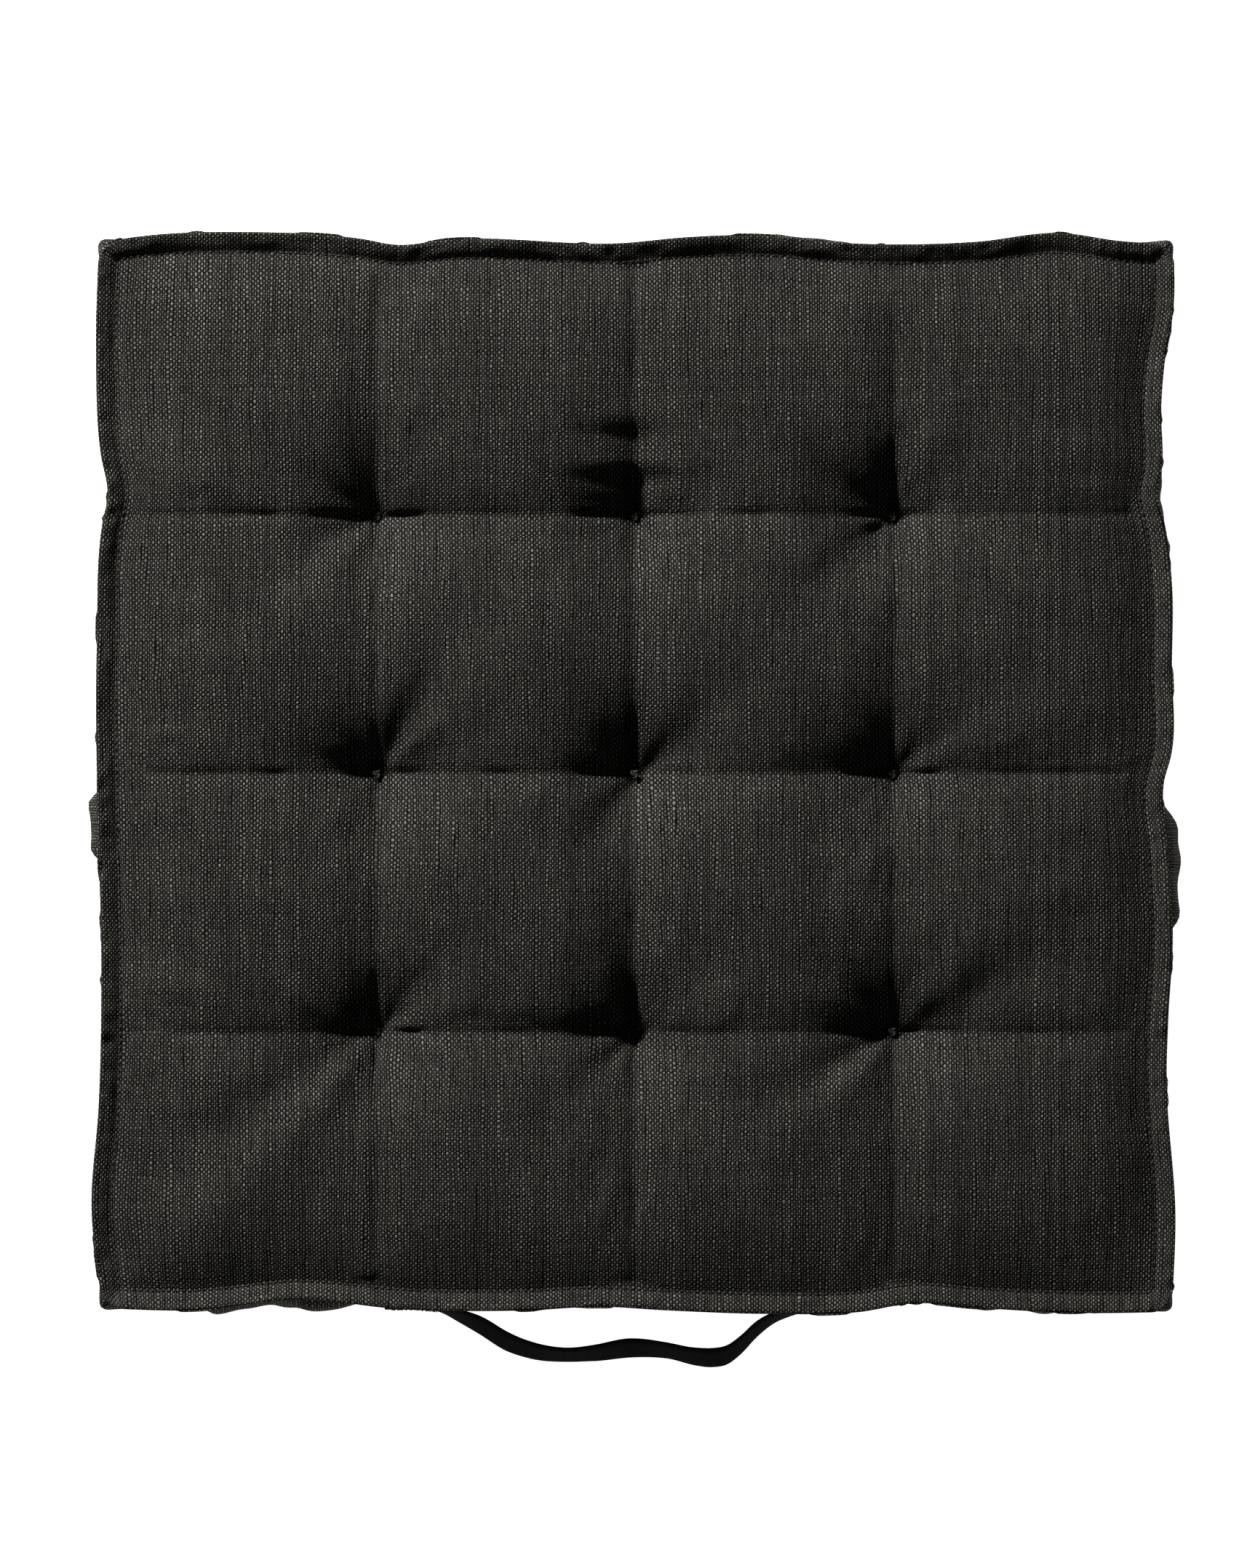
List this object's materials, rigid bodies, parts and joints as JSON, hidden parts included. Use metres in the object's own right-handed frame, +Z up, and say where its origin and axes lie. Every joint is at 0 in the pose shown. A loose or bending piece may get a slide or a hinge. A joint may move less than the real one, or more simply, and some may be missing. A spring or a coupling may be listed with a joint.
{
  "type": "floor cushion",
  "caption": "Square tufted floor cushion with a stitched lip round both faces, boxed sides and a cloth carrying loop on the front.",
  "frame": {"origin": "on the floor, under the middle of the whole object's box, handle included; the cushion's own middle is at (0, 0.01555)", "axes": "+Z up through the cushion, +Y away from the handle, which is on the front, +X to the right as seen from the front"},
  "size_m": [0.6012, 0.6324, 0.105],
  "materials": {
    "cover_cloth": "charcoal plain-weave slub cloth, matte",
    "strap_cloth": "the cover cloth folded into a flat strap, matte, nearly black",
    "sewing_thread": "black polyester thread",
    "tufting_cord": "black waxed cord",
    "fibre_filling": "off-white polyester fibre block"
  },
  "bodies": {
    "cushion": {"top_panel": "cover_cloth", "bottom_panel": "cover_cloth", "boxing_front": "cover_cloth", "boxing_right": "cover_cloth", "boxing_back": "cover_cloth", "boxing_left": "cover_cloth", "filling": "fibre_filling", "tuft_tie_1": "tufting_cord", "tuft_tie_2": "tufting_cord", "tuft_tie_3": "tufting_cord", "tuft_tie_4": "tufting_cord", "tuft_tie_5": "tufting_cord", "tuft_tie_6": "tufting_cord", "tuft_tie_7": "tufting_cord", "tuft_tie_8": "tufting_cord", "tuft_tie_9": "tufting_cord", "top_edge_stitch": "sewing_thread", "bottom_edge_stitch": "sewing_thread", "handle_end_left": "strap_cloth", "handle_end_right": "strap_cloth", "handle_stitch_left": "sewing_thread", "handle_stitch_right": "sewing_thread"},
    "handle": {"handle_strap": "strap_cloth"}
  },
  "joints": [
    {"name": "handle_swing", "type": "hinge", "parent": "cushion", "child": "handle", "pos_m": [0, -0.29774, 0.0525], "axis": [-1, 0, 0], "range_deg": [-45, 45]}
  ]
}
